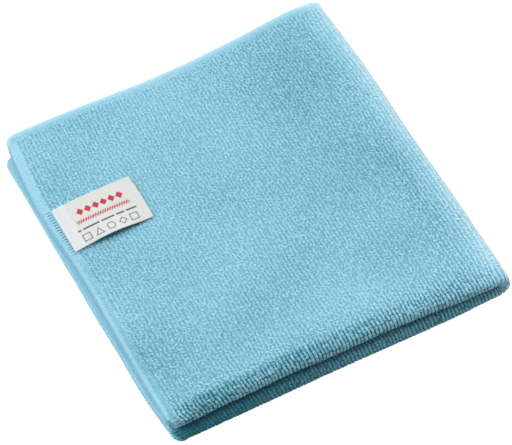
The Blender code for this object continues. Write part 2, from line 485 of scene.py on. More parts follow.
def add_relief(nodes, links, shader, height, depth):
    bump = new_node(nodes, "ShaderNodeBump", Strength=0.5, Distance=depth)
    links.new(height, bump.inputs["Height"])
    links.new(bump.outputs["Normal"], shader.inputs["Normal"])


def knit_material(name, colours):
    """Matt microfibre: dark where shade is painted down in the knit, pale where sheen is painted, with
    fine fibres.
    """
    material, nodes, links, shader = new_material(name, KNIT_FINISH)
    place = nodes.new("ShaderNodeTexCoord")
    blotch = new_node(nodes, "ShaderNodeTexNoise", Scale=BLOTCH_SCALE, Detail=3.0)
    links.new(place.outputs["Object"], blotch.inputs["Vector"])
    tone = nodes.new("ShaderNodeAttribute")
    tone.attribute_name = "tone"
    lighten = nodes.new("ShaderNodeMath")
    lighten.operation = "MULTIPLY_ADD"
    lighten.inputs[1].default_value = BLOTCH_TONE
    links.new(blotch.outputs["Fac"], lighten.inputs[0])
    links.new(tone.outputs["Fac"], lighten.inputs[2])
    shade = nodes.new("ShaderNodeMath")
    shade.operation = "SUBTRACT"
    shade.use_clamp = True
    shade.inputs[1].default_value = BLOTCH_TONE / 2.0
    links.new(lighten.outputs[0], shade.inputs[0])
    colour = nodes.new("ShaderNodeValToRGB")
    stops = colour.color_ramp.elements
    stops[0].color = colours[0]
    stops[1].color = colours[2]
    stops.new(HIGH_AT).color = colours[1]
    stops.new(PALER_AT).color = mix(np.array(colours[1]), np.array(colours[2]), PALER_SHARE)
    links.new(shade.outputs[0], colour.inputs["Fac"])
    links.new(colour.outputs["Color"], shader.inputs["Base Color"])
    fibres = new_node(nodes, "ShaderNodeTexNoise", Scale=FIBRE_SCALE, Detail=2.0)
    links.new(place.outputs["Object"], fibres.inputs["Vector"])
    add_relief(nodes, links, shader, fibres.outputs["Fac"], FIBRE_DEPTH)
    return material


def set_values(piece, name, values):
    layer = piece.data.attributes.new(name, "FLOAT", "POINT")
    layer.data.foreach_set("value", np.asarray(values, np.float32))


# Soft patches of painted light and shade, lighter and darker as the top layer's gentle swells would
# catch the light. Each patch of the top layer: how far from the left hem and from the back, its reach,
# and its tone.
PATCH_COLUMNS = ("across", "along", "reach", "tone")
LIGHT_AND_SHADE_PATCHES = (
    (0.72, 0.22, 0.22, -0.06),
    (0.84, 0.13, 0.12, -0.10),
    (0.55, 0.15, 0.12, 0.08),
    (0.80, 0.50, 0.14, -0.05),
    (0.90, 0.62, 0.18, -0.06),
    (0.08, 0.10, 0.12, 0.01),
    (0.20, 0.62, 0.20, 0.02),
    (0.30, 0.28, 0.10, 0.04),
    (0.09, 0.90, 0.14, -0.10),
    (0.38, 0.93, 0.20, -0.03),
)

# Faint waves of tone over the whole cloth, across and then along it: tone, length, bend and drift.
NAP_WAVES = ((0.022, 13.0 * MM, 2.1, 17.0 * MM, 0.7), (0.018, 9.0 * MM, 1.7, 21.0 * MM, 0.0))

# A sheen of light painted pale round the side fold, less towards the lips: tones and how far each
# reaches.
PAINTED_SHEEN_TONES = (0.34, 0.28)
PAINTED_SHEEN_REACHES = (17.0 * MM, 4.5 * MM)
PAINTED_SHEEN_AT_LIPS = 0.5
PAINTED_SHEEN_LIP_REACH = 12.0 * MM

# Painted shade along the crest of the upper lip, where the cloth turns away from the light: tones at its
# left and right ends, its place, half its width, and how far it fades out to the back, to the front and
# beside the hem.
CREST_SHADE_TONES = (-0.27, -0.05)
CREST_AT = LAYER_DEPTH - 0.5 * MM
CREST_HALF = 2.5 * MM
CREST_REACHES = (3.5 * MM, 3.0 * MM)
CREST_HEM_REACH = 14.0 * MM


def before(place, mark):
    """1 up to a mark, then down to 0 over the mark's reach."""
    at, reach = mark
    return soft_step(place - at, reach)


def after(place, mark):
    """1 from a mark on, up from 0 over the mark's reach."""
    at, reach = mark
    return soft_step(at - place, reach)


def nap_and_painted_light(u, v):
    """How much lighter or darker the pile's tone is around a point of the flat cloth: faint waves of its
    nap, with painted sheen, painted shade and patches of painted light and shade.
    """
    tone = 0.0
    for (size, wave, bend, drift, start), (first, second) in zip(NAP_WAVES, ((u, v), (v, u))):
        tone = tone + size * np.sin(first / wave + bend * np.sin(second / drift + start))
    # Painted sheen: the pile is painted paler round the side fold, less towards the lips.
    from_fold = np.abs(u - ACROSS / 2.0) - SIDE_ARC / 4.0
    short_of_lips = 1.0 - PAINTED_SHEEN_AT_LIPS * after(v, (LAYER_DEPTH, PAINTED_SHEEN_LIP_REACH))
    for sheen_tone, reach in zip(PAINTED_SHEEN_TONES, PAINTED_SHEEN_REACHES):
        tone = tone + sheen_tone * soft_step(from_fold, reach) * short_of_lips
    # Painted shade along the crest of the upper lip.
    from_crest = np.abs(CREST_AT - v) - CREST_HALF
    crest = mix(*CREST_SHADE_TONES, np.clip((ACROSS - u) / LAYER_WIDTH, 0.0, 1.0))
    crest = crest * (1.0 - soft_step(ACROSS - u - HEM_WIDTH, CREST_HEM_REACH))
    tone = tone + crest * soft_step(from_crest, np.where(v < LAYER_DEPTH, *CREST_REACHES))
    # Patches of painted light and shade on the top layer.
    for row in LIGHT_AND_SHADE_PATCHES:
        patch = dict(zip(PATCH_COLUMNS, row))
        from_u = (u - (ACROSS - patch["across"] * LAYER_WIDTH)) / (patch["reach"] * LAYER_WIDTH)
        from_v = (v - patch["along"] * LAYER_DEPTH) / (patch["reach"] * LAYER_DEPTH)
        tone = tone + patch["tone"] * np.exp(-(from_u**2) - from_v**2)
    return tone


# The shade beneath the label's bowed near edge: its middle's distance from the left hem and the back,
# half its width and depth, how each fades, and how dark it is.
UNDER_LABEL = (30.0 * MM, 83.4 * MM)
UNDER_LABEL_HALF = (18.0 * MM, 2.3 * MM)
UNDER_LABEL_FADE = (8.0 * MM, 0.4 * MM)
UNDER_LABEL_SHADE = 0.97


def under_label(u, v):
    """1 in the shade beneath the label's bowed near edge."""
    half_width, half_depth = UNDER_LABEL_HALF
    fade_across, fade_along = UNDER_LABEL_FADE
    from_middle = np.abs(ACROSS - u - UNDER_LABEL[0])
    beside = soft_step(from_middle - half_width + fade_across, fade_across)
    return beside * soft_step(np.abs(v - UNDER_LABEL[1]) - half_depth, fade_along)


# How much light the painted shade leaves, from the left end to the right, on the lower lip and down in
# the slit between the lips, and how much more shade is painted at the slit's right end.
LOWER_LIP_LIGHT = (0.0, 0.60)
LOWER_LIP_BEND = 1.6
SLIT_LIGHT = (0.60, 1.0)
SLIT_END = 18.0 * MM
SLIT_END_SHADE = 0.85

# Marks on the way round a lip, 0 where its bend starts and 1 where it ends, up to which the pile is left
# in the light and from which shade is painted on it, and over how much of the way that changes.
SLIT_TO = (1.2, 0.6)
UPPER_LIP_TO = (0.70, 0.20)
LOWER_LIP_TO = (0.90, 0.50)
LOWER_LIP_FROM = (0.25, 0.25)
FOLD_LIP_TO = (0.75, 0.4)

# On the inner layers the painted shade stops short of their hems, which stand out into the light. The
# last is the middle of the bend at the side fold.
BESIDE_HEM_FROM = (1.5, 0.5)
BESIDE_HEM_WIDTH = (6.0 * MM, 2.0 * MM)
ROUND_FOLD = (0.08, 0.15)


def painted_light_level(u, v):
    """1 in the light, less where shade is painted on the pile: under the upper lip, between the
    layers, under the label's near edge, and on the lower lip, most at its left end."""
    way = (v - LAYER_DEPTH) / LIP_ARC
    from_left = np.clip(np.minimum(u, ACROSS - u) / LAYER_WIDTH, 0.0, 1.0)
    slit_end = 1.0 - SLIT_END_SHADE * soft_step((1.0 - from_left) * LAYER_WIDTH, SLIT_END)
    slit = mix(*SLIT_LIGHT, from_left) * slit_end * before(way, SLIT_TO)
    beside_hem = before(hem_distance(u, v), BESIDE_HEM_WIDTH) * after(way, BESIDE_HEM_FROM)
    slit = np.maximum(slit, beside_hem)
    upper = np.maximum(before(way, UPPER_LIP_TO), slit)
    lower_lip_light = mix(*LOWER_LIP_LIGHT, from_left**LOWER_LIP_BEND)
    lower = before(way, LOWER_LIP_TO) * mix(1.0, lower_lip_light, after(way, LOWER_LIP_FROM))
    lower = np.maximum(lower, np.maximum(slit * lower_lip_light, beside_hem))
    round_fold = np.clip((u - LAYER_WIDTH) / SIDE_ARC, 0.0, 1.0)
    upper = upper * (1.0 - UNDER_LABEL_SHADE * under_label(u, v))
    fold_end = before(np.abs(round_fold - 0.5), ROUND_FOLD)
    return mix(mix(lower, upper, round_fold), before(way, FOLD_LIP_TO), fold_end)


# From here on, past a lip's bend, the cloth is folded inside.
INNER_FROM = (LAYER_DEPTH + LIP_ARC + 2.0 * MM, 2.0 * MM)


def inner_layer(v):
    """1 on the two layers folded inside, where the stitches are pressed flat and show less."""
    return after(v, INNER_FROM)


# Tones of the knit beneath the loops, with shade painted in its hollows: its hollows on the flat and bent
# open, how much lighter its ribs are, and the side that is folded inwards.
SHADED_HOLLOW_TONES = (0.32, 0.16)
RIB_TONE = 0.10
BACK_TONE = 0.45

# Tones of the hem between its stitches and along its edge, by stretch: the left hem from its back end
# to the front, the inner layers' hems, and the back hem. The edge's width is in mm. Darker between the
# stitches is painted shade between the wraps, the pale back hem's edge is a painted sheen, and the inner
# layers are painted lighter between their stitches against the shade of the layers above.
BETWEEN_TONES = {"back end": 0.68, "front": 0.46, "inner": 0.77, "back hem": 0.56}
EDGE_TONES = {"back end": 0.62, "front": 0.68, "inner": 0.58, "back hem": 0.80}
BACK_HEM = (5.0 * MM, 3.0 * MM)
BACK_END = (86.0 * MM, 12.0 * MM)
EDGE_WIDTHS = (1.2, 2.4)
EDGE_FADE = 1.4 * MM
HEM_FADE = 1.2 * MM
FACE_SHADE = 1.3


def face_tone(u, v):
    """Painted shade between the ribs, lighter on the hem, most along its edge except on the inner layers.
    """
    ribs = mix(*SHADED_HOLLOW_TONES, opened(u, v)) + RIB_TONE * rib_height(u)
    distance = hem_distance(u, v)
    at_back = before(v, BACK_HEM)
    to_front = np.clip(v / LAYER_DEPTH, 0.0, 1.0)
    between = mix(BETWEEN_TONES["front"], BETWEEN_TONES["back end"], before(v, BACK_END))
    between = mix(between, BETWEEN_TONES["inner"], inner_layer(v))
    between = mix(between, BETWEEN_TONES["back hem"], at_back)
    edge = mix(EDGE_TONES["back end"], EDGE_TONES["front"], to_front)
    edge = mix(edge, EDGE_TONES["inner"], inner_layer(v))
    edge = mix(edge, EDGE_TONES["back hem"], at_back)
    hem = mix(between, edge, soft_step(distance - mix(*EDGE_WIDTHS, at_back) * MM, EDGE_FADE))
    tone = mix(ribs, hem, soft_step(distance - HEM_WIDTH, HEM_FADE)) + nap_and_painted_light(u, v)
    # Painted shade of the folds, under the lips and beneath the label's near edge.
    return tone * painted_light_level(u, v) ** FACE_SHADE


face_tones = face_tone(face_us, face_vs).ravel()
set_values(cloth, "tone", np.concatenate([face_tones, np.full(len(back_points), BACK_TONE)]))
knit = knit_material("terry_knit", KNIT_BLUES)
cloth.data.materials.append(knit)
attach(cloth, "root")
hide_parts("cloth")

# The pile.
# Every rib carries a row of short loops of split microfibre, uneven in length and lean. They cover
# the face side wherever it shows: the top, the underside, the side fold and the front lips.

# The loops' pitch, size and turn, how far they slide along their rib and sway off it, and what share of
# them is missing. Where the ribs are bent open they are longer, turn less and sway less.
LOOP_PITCH = 1.10 * MM
LOOP_SIZE = (1.4 * MM, 1.8 * MM)
LOOP_LENGTHS = (0.7, 1.2)
LOOP_WIDTHS = (0.75, 1.15)
LOOP_TURN = math.radians(40.0)
LOOP_CURL = 0.35
LOOP_SLIDE = 0.35
LOOP_SWAY = 0.34 * MM
LOOP_GAPS = 0.05
LOOP_FOOT = 0.78 * MM
LOOP_TOP = (1.04 * MM, 1.20 * MM)
OPEN_LONGER = 0.4
OPEN_STRAIGHTER = 0.6
OPEN_STEADIER = 0.7

# Loops that have strayed over the hollows, as a share of the others: on the top and on the edges.
STRAY_SHARE = 0.15
EDGE_STRAY_SHARE = 0.1
STRAY_SIZE = (1.6 * MM, 1.1 * MM)
STRAY_TURN = math.radians(50.0)

# Tones of the loops, flat and bent open: at the foot and at the tip, how they vary, how much lighter a
# tall one is for each mm, and how strongly the shade darkens them. The darker feet are painted shade down
# in the pile, and the lighter tall loops painted light.
SHADED_FOOT_TONES = (0.46, 0.33)
TIP_TONES = (0.625, 0.61)
LOOP_TONE_SPREAD = 0.06
TALL_LIGHT_TONE = 0.3
LOOP_SHADE = 0.6

# Where the loops stand, in whole ribs and in courses along them.
SIDE_RIBS = 5
HEM_RIBS = 2
SECOND_LAYER_RIBS = 6
HEM_CLEAR = 0.2 * MM
FIRST_COURSE = HEM_WIDTH + 1.2 * MM
LIP_END = LAYER_DEPTH + LIP_ARC + 9.0 * MM

# A loop's points as shares of half its length along the rib, of half its width and of its height, and
# its faces. The plain loop is for the underside.
FINE_LOOP = (
    (1.00, 0.00, 0.0), (0.52, 0.92, 0.0), (-0.52, 0.92, 0.0), (-1.00, 0.00, 0.0),
    (-0.52, -0.92, 0.0), (0.52, -0.92, 0.0),
    (0.86, 0.00, 0.70), (0.44, 0.76, 0.74), (-0.44, 0.76, 0.74), (-0.86, 0.00, 0.70),
    (-0.44, -0.76, 0.74), (0.44, -0.76, 0.74),
    (0.34, 0.00, 1.0), (-0.34, 0.00, 1.0),
)
FINE_LOOP_FACES = (
    (6, 7, 1, 0), (7, 8, 2, 1), (8, 9, 3, 2), (9, 10, 4, 3), (10, 11, 5, 4), (11, 6, 0, 5),
    (12, 7, 6), (12, 13, 8, 7), (13, 9, 8), (13, 10, 9), (13, 12, 11, 10), (12, 6, 11),
    (0, 1, 2, 3, 4, 5),
)
PLAIN_LOOP = FINE_LOOP[:6] + ((0.50, 0.00, 0.95), (-0.50, 0.00, 0.95))
PLAIN_LOOP_FACES = (
    (6, 1, 0), (6, 7, 2, 1), (7, 3, 2), (7, 4, 3), (7, 6, 5, 4), (6, 0, 5), (0, 1, 2, 3, 4, 5),
)


def on_ribs(ribs, courses, rng):
    """Where the loops of a range of ribs stand, between two distances along them."""
    rib = (np.arange(*ribs) + 0.5) * ACROSS / RIB_COUNT
    u, v = [a.ravel() for a in np.meshgrid(rib, np.arange(*courses, LOOP_PITCH), indexing="ij")]
    v = v + rng.uniform(-LOOP_SLIDE, LOOP_SLIDE, v.shape) * LOOP_PITCH
    sway = rng.normal(0.0, 1.0, u.shape) * LOOP_SWAY * (1.0 - OPEN_STEADIER * opened(u, v))
    u = wandered(u, v) + sway
    keep = rng.random(u.shape) > LOOP_GAPS
    return u[keep], v[keep]


def strays(ribs, courses, share, rng):
    """Where loops stand that have strayed over the hollows between the ribs."""
    width = (ribs[1] - ribs[0]) * ACROSS / RIB_COUNT
    count = int(share * width * (courses[1] - courses[0]) / (LOOP_PITCH * ACROSS / RIB_COUNT))
    u = ribs[0] * ACROSS / RIB_COUNT + rng.random(count) * width
    v = rng.uniform(*courses, count)
    keep = rng.random(count) > opened(u, v)
    return u[keep], v[keep]


def loops(name, loop, loop_faces, ribs, courses, stray_share, seed):
    """One joined piece of loops, on a range of ribs and between two courses."""
    rng = np.random.default_rng(seed)
    u, v = on_ribs(ribs, courses, rng)
    stray_u, stray_v = strays(ribs, courses, stray_share, rng)
    stray = np.concatenate([np.zeros(len(u), bool), np.ones(len(stray_u), bool)])
    u = np.concatenate([u, stray_u])
    v = np.concatenate([v, stray_v])
    keep = hem_distance(u, v) > HEM_WIDTH + HEM_CLEAR
    u, v, stray = u[keep], v[keep], stray[keep]
    count = len(u)
    form = np.array(loop)
    length = np.where(stray, STRAY_SIZE[0], LOOP_SIZE[0] * (1.0 + OPEN_LONGER * opened(u, v)))
    length = length / 2.0 * rng.uniform(*LOOP_LENGTHS, count)
    width = np.where(stray, STRAY_SIZE[1], LOOP_SIZE[1]) / 2.0 * rng.uniform(*LOOP_WIDTHS, count)
    turn = np.where(stray, STRAY_TURN, LOOP_TURN * (1.0 - OPEN_STRAIGHTER * opened(u, v)))
    turn = turn * rng.normal(0.0, 1.0, count)
    top = rng.uniform(*LOOP_TOP, count)
    curl = rng.normal(0.0, LOOP_CURL, count)
    a = form[None, :, 0] * length[:, None]
    b = (form[None, :, 1] + curl[:, None] * form[None, :, 0] ** 2) * width[:, None]
    v_all = v[:, None] + a * np.cos(turn)[:, None] - b * np.sin(turn)[:, None]
    u_all = u[:, None] + a * np.sin(turn)[:, None] + b * np.cos(turn)[:, None]
    u_all = np.clip(u_all, 0.0, ACROSS)
    lift = LOOP_FOOT + form[None, :, 2] * (top - LOOP_FOOT)[:, None]
    points = surface(u_all, v_all, lift).reshape(-1, 3)
    faces = []
    for face in loop_faces:
        faces += [tuple(f) for f in np.array(face)[None] + len(form) * np.arange(count)[:, None]]
    pile = mesh_object(name, points, faces)
    # Painted light on the taller loops, and painted shade at every loop's foot.
    tall_light = (top - np.mean(LOOP_TOP)) / MM * TALL_LIGHT_TONE
    tone = rng.normal(0.0, LOOP_TONE_SPREAD, count) + tall_light + nap_and_painted_light(u, v)
    foot = mix(*SHADED_FOOT_TONES, opened(u, v))
    tip = mix(*TIP_TONES, opened(u, v))
    tone = tone[:, None] + mix(foot[:, None], tip[:, None], form[None, :, 2])
    # The painted shade of the folds darkens the loops too.
    tone = np.clip(tone, 0.0, 1.0) * painted_light_level(u, v)[:, None] ** LOOP_SHADE
    set_values(pile, "tone", tone.ravel())
    pile.data.materials.append(knit)
    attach(pile, "root")
    return pile


side_rib = RIB_COUNT // 2 - SIDE_RIBS
last_rib = RIB_COUNT - HEM_RIBS
second_layer_ribs = (HEM_RIBS, SECOND_LAYER_RIBS)
top_ribs = [round(rib) for rib in np.linspace(side_rib, last_rib, 4)]
courses = (FIRST_COURSE, LAYER_DEPTH)
fine = (FINE_LOOP, FINE_LOOP_FACES)
plain = (PLAIN_LOOP, PLAIN_LOOP_FACES)
pile = [
    loops("pile_top_right", *fine, top_ribs[0:2], courses, STRAY_SHARE, 11),
    loops("pile_top_middle", *fine, top_ribs[1:3], courses, STRAY_SHARE, 12),
    loops("pile_top_left", *fine, top_ribs[2:4], courses, STRAY_SHARE, 16),
    loops("pile_lips", *fine, (HEM_RIBS, last_rib), (LAYER_DEPTH, LIP_END), EDGE_STRAY_SHARE, 13),
    loops("pile_second_layer", *fine, second_layer_ribs, (LIP_END, ALONG), EDGE_STRAY_SHARE, 14),
    loops("pile_underside", *plain, (HEM_RIBS, side_rib), courses, 0.0, 15),
]

# The hem.
# The cut edge is overlocked all round in thread of nearly the knit's colour. It wraps over the edge
# every 1.75 mm, from a line of needle stitches on the face to another on the back.

# The wraps' pitch and slant and how unevenly they lie, in mm. Then along one wrap, from the face over
# the edge to the back, in mm: how deep it lies in the hem, its radius, and how proud of the hem.
WRAP_PITCH = 1.75 * MM
WRAP_SLANT = 0.30 * MM
WRAP_SLIP = 0.12
THREAD_SIDES = 4
WRAP_STEPS = (4.7, 3.6, 2.4, 1.2, 0.4, 0.0, 0.4, 1.2, 2.4, 3.6, 4.7)
WRAP_RADII = (0.18, 0.32, 0.42, 0.60, 0.60, 0.50, 0.60, 0.60, 0.42, 0.32, 0.18)
WRAP_PROUD = (-0.02, 0.26, 0.24, 0.14, 0.12, 0.62, 0.12, 0.14, 0.24, 0.26, -0.02)

# On the inner layers the wraps are pressed into the hem.
INNER_SUNK = 0.22 * MM

# The stretch of the top layer's left hem, from the back, where the wraps also catch the label and so
# pass over it, and how deep in the hem they do.
LABEL_END = (56.5 * MM, 86.0 * MM)
LABEL_END_FADE = 1.0 * MM
CAUGHT_LIFT = 0.6 * MM
CAUGHT_TO = (4.7 * MM, 0.1 * MM)
CAUGHT_FROM = (3.4 * MM, 1.6 * MM)

# The stretch that is turned down round the front fold, into the shade of the lips.
TURNED_FROM = LAYER_DEPTH + 1.0 * MM
TURNED_FADE = 3.0 * MM


def tubes(name, paths, radii, sides):
    """Joined tubes of thread, one along each path: paths by points by X, Y, Z, a radius a point."""
    ahead = np.gradient(paths, axis=1)
    ahead /= np.linalg.norm(ahead, axis=-1, keepdims=True) + TINY
    middles = paths.mean(axis=1, keepdims=True)
    beside = np.roll(middles, 1, axis=0) - middles
    first = np.cross(ahead, beside)
    first /= np.linalg.norm(first, axis=-1, keepdims=True) + TINY
    second = np.cross(ahead, first)
    angle = 2.0 * math.pi * np.arange(sides) / sides
    ring = first[..., None, :] * np.cos(angle)[:, None] + second[..., None, :] * np.sin(angle)[:, None]
    points = (paths[..., None, :] + ring * np.asarray(radii)[:, None, None]).reshape(-1, 3)
    count, steps = paths.shape[:2]
    numbers = (np.arange(count), np.arange(steps - 1), np.arange(sides))
    tube, step, side = np.meshgrid(*numbers, indexing="ij")
    base = (tube * steps + step) * sides
    following = (side + 1) % sides
    quads = [base + side, base + following, base + sides + following, base + sides + side]
    quads = np.stack(quads, -1)
    starts = [k * steps * sides for k in range(count)]
    caps = [tuple(range(start, start + sides))[::-1] for start in starts]
    last = (steps - 1) * sides
    caps += [tuple(range(start + last, start + last + sides)) for start in starts]
    return mesh_object(name, points, [tuple(q) for q in quads.reshape(-1, 4)] + caps)


def side_stitches(length, rng):
    """The wraps along one straight edge: how far along it and how deep in from it each point lies."""
    at = np.arange(CORNER_RADIUS + WRAP_PITCH / 2.0, length - CORNER_RADIUS, WRAP_PITCH)
    at = at + rng.normal(0.0, WRAP_SLIP, at.shape) * MM
    slant = np.linspace(-1.0, 1.0, len(WRAP_STEPS)) * WRAP_SLANT
    along = at[:, None] + slant[None, :]
    return along, np.broadcast_to(np.array(WRAP_STEPS) * MM, along.shape)


def corner_stitches():
    """The wraps round one rounded corner, as distances from its two edges before it is rounded."""
    count = round(CORNER_RADIUS * math.pi / 2.0 / WRAP_PITCH)
    turn = (np.arange(count) + 0.5) / count * math.pi / 2.0
    a = np.minimum(1.0, math.sqrt(2.0) * np.cos(turn))
    b = np.minimum(1.0, math.sqrt(2.0) * np.sin(turn))
    inward = 1.0 - np.array(WRAP_STEPS) * MM / CORNER_RADIUS
    first = CORNER_RADIUS * (1.0 - a[:, None] * inward[None, :])
    second = CORNER_RADIUS * (1.0 - b[:, None] * inward[None, :])
    return first, second


def thread_lift(u, v):
    """How far off the middle each wrap's thread lies: on the face, round the edge, on the back."""
    outward = np.sign(len(WRAP_STEPS) // 2 - np.arange(len(WRAP_STEPS)))
    radii = np.array(WRAP_RADII) * MM
    proud = np.array(WRAP_PROUD) * MM - INNER_SUNK * inner_layer(v) * (outward > 0.0)
    lift = (hem_lift(np.array(WRAP_STEPS) * MM) + proud - radii) * outward
    return lift + label_lift(u, v) * (outward > 0.0)


def label_lift(u, v):
    """How much higher the wraps that catch the label's end lie."""
    start, end = LABEL_END
    within = soft_step(start - v, LABEL_END_FADE) * soft_step(v - end, LABEL_END_FADE)
    return CAUGHT_LIFT * within * before(ACROSS - u, CAUGHT_TO) * after(ACROSS - u, CAUGHT_FROM)


def fold_share(v):
    """1 round the front fold, where the hem's stitches are turned down into the shade of the lips."""
    return soft_step(TURNED_FROM - v, TURNED_FADE) * soft_step(v - LAYER_DEPTH - LIP_ARC, TURNED_FADE)


rng = np.random.default_rng(5)
wraps = []
wrap_places = []
for length, edges in ((ALONG, ("left", "right")), (ACROSS, ("back", "front"))):
    for edge in edges:
        along, deep = side_stitches(length, rng)
        u, v = (deep, along) if length == ALONG else (along, deep)
        u = ACROSS - u if edge == "right" else u
        v = ALONG - v if edge == "front" else v
        wraps.append(surface(u, v, thread_lift(u, v)))
        wrap_places.append(v)
for right in (False, True):
    for front in (False, True):
        u, v = corner_stitches()
        u = ACROSS - u if right else u
        v = ALONG - v if front else v
        wraps.append(surface(u, v, thread_lift(u, v)))
        wrap_places.append(v)
overlock = tubes("overlock_thread", np.concatenate(wraps), np.array(WRAP_RADII) * MM, THREAD_SIDES)

# The thread's colours and tones: on the outer and inner layers, how they vary, how much darker the
# wraps' inner ends are, from the label to the front, and how much of the tone is left round the front
# fold, where shade is painted on the thread.
THREAD_BLUES = ((0.05, 0.27, 0.36, 1.0), (0.38, 0.71, 0.84, 1.0), (0.58, 0.74, 0.80, 1.0))
WRAP_TONES = (0.68, 0.73)
WRAP_TONE_SPREAD = 0.05
INNER_END_DARKER = 0.20
INNER_END_DEPTH = 2.0
DARKER_FROM = 90.0 * MM
TURNED_SHADE_TONE = 0.20

wrap_v = np.concatenate(wrap_places)
uneven = rng.normal(0.0, WRAP_TONE_SPREAD, wrap_v.shape[0])[:, None]
wrap_tone = uneven + mix(*WRAP_TONES, inner_layer(wrap_v))
darker = INNER_END_DARKER * (np.array(WRAP_STEPS) > INNER_END_DEPTH)
wrap_tone = wrap_tone - darker * (1.0 - inner_layer(wrap_v)) * (wrap_v > DARKER_FROM)
# Painted shade on the wraps round the front fold.
wrap_tone = wrap_tone * mix(1.0, TURNED_SHADE_TONE, fold_share(wrap_v))
set_values(overlock, "tone", np.repeat(wrap_tone.ravel(), THREAD_SIDES))
overlock.data.materials.append(knit_material("hem_thread", THREAD_BLUES))
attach(overlock, "root")

# The label.
# A woven tape label, its left end doubled and caught under the hem's stitches, the rest lying on the
# pile. Its near edge bows up and its free corner tips down. Its print is plain shapes in three inks.

LABEL_WIDTH = 46.0 * MM
LABEL_DEPTH = 29.6 * MM
LABEL_CORNER = (-95.2 * MM, 14.6 * MM)
LABEL_TURN = math.radians(1.2)
LABEL_CLEAR = 0.25 * MM
LABEL_THICKNESS = 0.40 * MM
LABEL_CELL = 0.3 * MM
LABEL_BACK_CELLS = (30, 20)
LABEL_BOW = 2.2 * MM
LABEL_TIP = 0.9 * MM
LABEL_TIP_BEND = 6
LABEL_OUT = (0.5 * MM, 0.4 * MM)

# The sewn end is pressed down, and as far as it is doubled it stands higher.
SEWN_TO = 1.0 * MM
SEWN_FADE = 4.0 * MM
SEWN_DROP = 0.35 * MM
DOUBLED_END = 6.6 * MM
DOUBLED_STEP = 0.12 * MM
DOUBLED_FADE = 0.4 * MM


def top_height(x, y):
    """Height of the top layer's face, on which the label lies."""
    left, back = LAYERS["top"][0]
    across = (x - left * MM) / LAYER_WIDTH
    along = (back * MM - y) / LAYER_DEPTH
    return levels(across, along)[3] + CLOTH_THICKNESS / 2.0


def on_label(over, up, raised):
    """A place on the label: over from its sewn end, up from its near edge, both 0 to 1."""
    local_x = over * LABEL_WIDTH + LABEL_OUT[0] * over * np.sin(math.pi * up)
    local_y = up * LABEL_DEPTH + LABEL_OUT[1] * up * np.sin(math.pi * over)
    x = LABEL_CORNER[0] + local_x * math.cos(LABEL_TURN) - local_y * math.sin(LABEL_TURN)
    y = LABEL_CORNER[1] + local_x * math.sin(LABEL_TURN) + local_y * math.cos(LABEL_TURN)
    bow = LABEL_BOW * np.sin(math.pi * over) ** 2 * (1.0 - up) ** 2
    tip = LABEL_TIP * over**LABEL_TIP_BEND * (1.0 - up) ** 2
    dropped = SEWN_DROP * soft_step(over * LABEL_WIDTH - SEWN_TO, SEWN_FADE)
    z = top_height(x, y) + LABEL_CLEAR + bow - tip * bow / LABEL_BOW - dropped + raised
    return np.stack([x, y, z], -1) - CENTRE


def label_top(over):
    """How far the label's top side stands above its back."""
    return LABEL_THICKNESS + DOUBLED_STEP * soft_step(over * LABEL_WIDTH - DOUBLED_END, DOUBLED_FADE)


def label_side(cells, raised):
    """One side of the label, with so many cells over and up, and raised by a function of over."""
    overs = np.linspace(0.0, 1.0, cells[0] + 1)
    ups = np.linspace(0.0, 1.0, cells[1] + 1)
    over, up = np.meshgrid(overs, ups, indexing="ij")
    return overs, ups, on_label(over, up, raised(over)).reshape(-1, 3)


# The top is fine enough to carry the print.
top_cells = (round(LABEL_WIDTH / LABEL_CELL), round(LABEL_DEPTH / LABEL_CELL))
label_face = label_side(top_cells, label_top)
label_back = label_side(LABEL_BACK_CELLS, np.zeros_like)
label, label_flat = closed_sheet("label_tape", label_face, label_back, "tape", (1.0, 1.0))

# The print, in mm from the sewn end and from the near edge. DOUBLED_EDGE is how softly the doubled
# end's paler colour ends.
INK_EDGE = 0.3
DOUBLED_EDGE = 0.6
LOZENGE_ROW = 21.0
LOZENGES = [12.8 + 4.6 * k for k in range(6)]
LOZENGE_HALF = (2.1, 2.4)
ZIGZAG_SPAN = (8.3, 38.8)
ZIGZAG_ROW = 15.1
ZIGZAG_RISE = 0.9
ZIGZAG_PITCH = 1.4
STROKE = 0.52
BAR_ROW = 10.0
BAR_HALF = 0.5
BARS = ((6.5, 8.3), (9.5, 19.0), (20.2, 27.6), (28.8, 33.4), (34.6, 40.5))
OUTLINE_ROW = 4.7
OUTLINE_HALF = 2.1
OUTLINES = ((9.5, "square"), (16.5, "triangle"), (23.5, "round"), (30.5, "lozenge"), (37.0, "square"))


def outside_box(a, b, half_a, half_b):
    """How far a point is outside a box, as the next two do for their shapes."""
    return np.maximum(np.abs(a) - half_a, np.abs(b) - half_b)


def outside_lozenge(a, b, half_a, half_b):
    return (np.abs(a) / half_a + np.abs(b) / half_b - 1.0) * half_a * half_b / math.hypot(half_a, half_b)


def outside_triangle(a, b, half):
    return np.maximum(-b - half, (2.0 * np.abs(a) + b - half) / math.sqrt(5.0))


def outside_outline(kind, a, b):
    """How far a point is outside the stroke of one of the plain outlines."""
    half = OUTLINE_HALF
    if kind == "square":
        edge = outside_box(a, b, half, half)
    elif kind == "triangle":
        edge = outside_triangle(a, b, half)
    elif kind == "round":
        edge = np.hypot(a, b) - half
    else:
        edge = outside_lozenge(a, b, half, half)
    return np.abs(edge) - STROKE / 2.0


def ink(distance):
    """1 in the ink, 0 outside it."""
    return np.clip(0.5 - distance / INK_EDGE, 0.0, 1.0)


